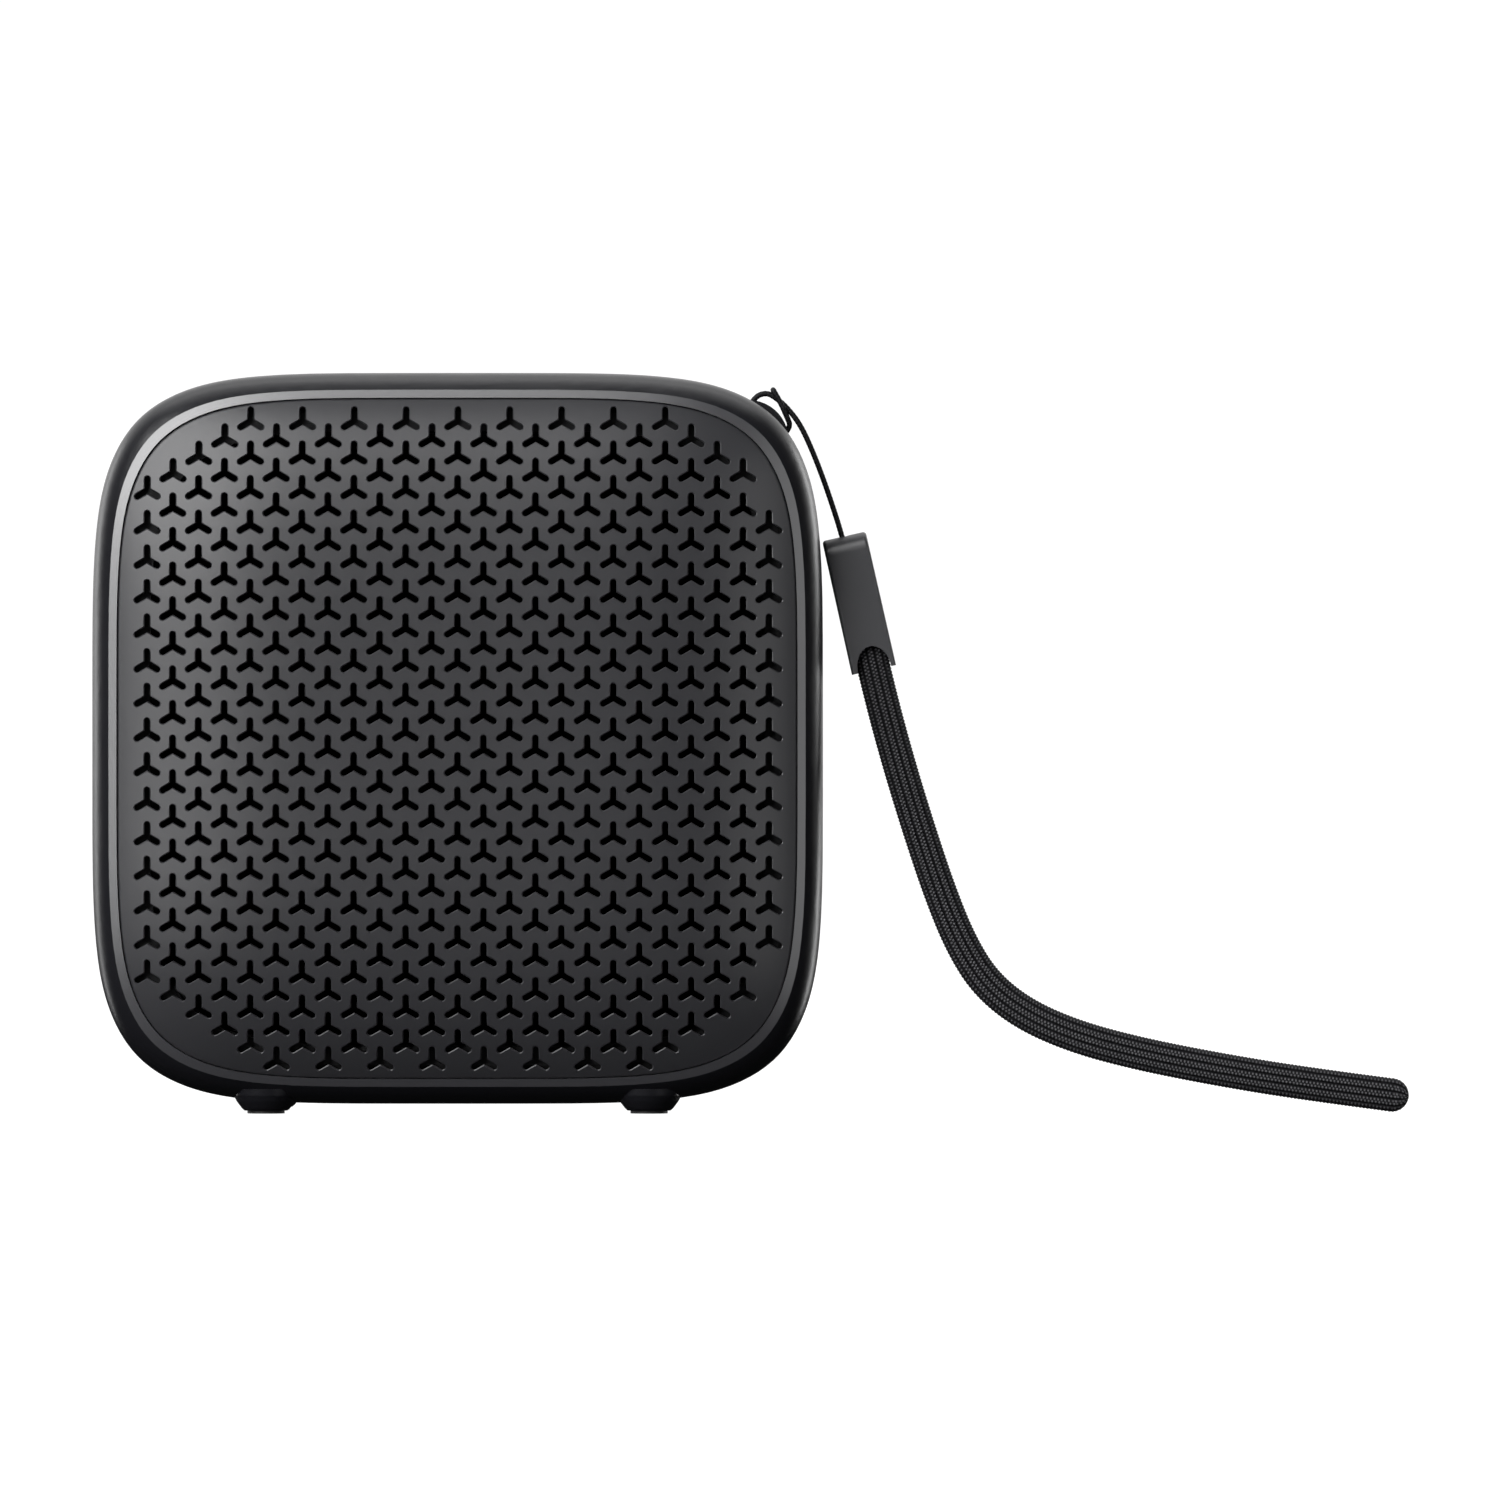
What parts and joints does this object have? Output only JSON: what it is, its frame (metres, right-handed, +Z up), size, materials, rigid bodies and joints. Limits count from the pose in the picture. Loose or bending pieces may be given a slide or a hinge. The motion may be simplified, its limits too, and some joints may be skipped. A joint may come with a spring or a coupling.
{
  "type": "portable speaker",
  "caption": "Pocket-size rounded-square speaker with a crowned perforated grille, moulded feet, top buttons, a covered charging socket and a ribbed wrist strap.",
  "frame": {"origin": "on the table under the middle of the speaker body, at the underside of the foot pads", "axes": "+Z up through the button side; -Y out of the front grille; +X to the right of the grille, the side of the strap and of the charging socket"},
  "size_m": [0.1804, 0.0459, 0.1013],
  "materials": {
    "shell_plastic": "satin moulded plastic with a very fine grain",
    "grille_plastic": "satin moulded plastic with a very fine grain",
    "mesh_fabric": "fine black acoustic cloth",
    "black_foam": "closed-cell black foam tape",
    "inner_plastic": "plain moulded plastic, not seen from outside",
    "zinc_steel": "zinc-plated steel",
    "ferrite": "sintered ferrite",
    "copper_wire": "enamelled copper wire",
    "spider_fabric": "resin-stiffened woven cloth",
    "cone_paper": "coated black paper",
    "soft_rubber": "matt moulded rubber",
    "black_screw": "black-plated steel",
    "radiator_metal": "turned aluminium plate",
    "board_green": "green solder mask",
    "chip_black": "moulded chip packages",
    "socket_steel": "plated sheet steel",
    "cell_wrap": "shrink-wrapped battery cell",
    "led_white": "light-emitting diode body",
    "light_clear": "clear moulded plastic",
    "button_rubber": "satin rubber keycap",
    "clip_plastic": "satin moulded plastic",
    "strap_cord": "fine black polyester cord",
    "strap_braid": "narrow black ribbed webbing"
  },
  "bodies": {
    "speaker": {"body_shell": "shell_plastic", "front_grille": "grille_plastic", "grille_mesh": "mesh_fabric", "grille_tape": "black_foam", "front_baffle": "inner_plastic", "driver_gasket": "black_foam", "driver_basket": "inner_plastic", "driver_top_plate": "zinc_steel", "driver_magnet": "ferrite", "driver_yoke": "zinc_steel", "driver_spider": "spider_fabric", "driver_surround": "soft_rubber", "driver_screws": "black_screw", "rear_gasket": "black_foam", "rear_cover": "grille_plastic", "rear_screws": "black_screw", "radiator_frame": "inner_plastic", "radiator_surround": "soft_rubber", "main_board": "board_green", "board_chips": "chip_black", "usb_c_socket": "socket_steel", "main_board_screws": "black_screw", "battery_cell": "cell_wrap", "battery_holder": "inner_plastic", "button_board": "board_green", "button_board_screws": "black_screw", "tact_switches": "socket_steel", "status_led": "led_white", "light_pipe": "light_clear", "port_cover_tab": "soft_rubber", "foot_pad_front_left": "soft_rubber", "foot_pad_front_right": "soft_rubber", "foot_pad_rear_left": "soft_rubber", "foot_pad_rear_right": "soft_rubber", "strap_clip": "clip_plastic", "strap_crimp": "zinc_steel", "strap_string": "strap_cord", "strap_band": "strap_braid"},
    "cone_body": {"driver_cone": "cone_paper", "driver_dust_cap": "cone_paper", "voice_coil": "copper_wire"},
    "radiator_body": {"radiator_plate": "radiator_metal"},
    "power_button_body": {"power_button": "button_rubber"},
    "minus_button_body": {"minus_button": "button_rubber"},
    "play_button_body": {"play_button": "button_rubber"},
    "plus_button_body": {"plus_button": "button_rubber"},
    "port_cover_body": {"port_cover": "soft_rubber"}
  },
  "joints": [
    {"name": "driver_travel", "type": "slide", "parent": "speaker", "child": "cone_body", "axis": [0, -1, 0], "range_m": [-0.0012, 0.0012], "stiffness_N_per_m": 1000, "deforming": ["driver_surround", "driver_spider"]},
    {"name": "radiator_travel", "type": "slide", "parent": "speaker", "child": "radiator_body", "axis": [0, 1, 0], "range_m": [-0.001, 0.001], "stiffness_N_per_m": 600, "deforming": ["radiator_surround"]},
    {"name": "power_button_press", "type": "slide", "parent": "speaker", "child": "power_button_body", "axis": [0, 0, -1], "range_m": [0, 0.0005], "stiffness_N_per_m": 1000},
    {"name": "minus_button_press", "type": "slide", "parent": "speaker", "child": "minus_button_body", "axis": [0, 0, -1], "range_m": [0, 0.0005], "stiffness_N_per_m": 1000},
    {"name": "play_button_press", "type": "slide", "parent": "speaker", "child": "play_button_body", "axis": [0, 0, -1], "range_m": [0, 0.0005], "stiffness_N_per_m": 1000},
    {"name": "plus_button_press", "type": "slide", "parent": "speaker", "child": "plus_button_body", "axis": [0, 0, -1], "range_m": [0, 0.0005], "stiffness_N_per_m": 1000},
    {"name": "port_cover_hinge", "type": "hinge", "parent": "speaker", "child": "port_cover_body", "pos_m": [0.04992, 0.006, 0.0424], "axis": [0, -1, 0], "range_deg": [0, 110], "stiffness_Nm_per_rad": 0.0003}
  ]
}
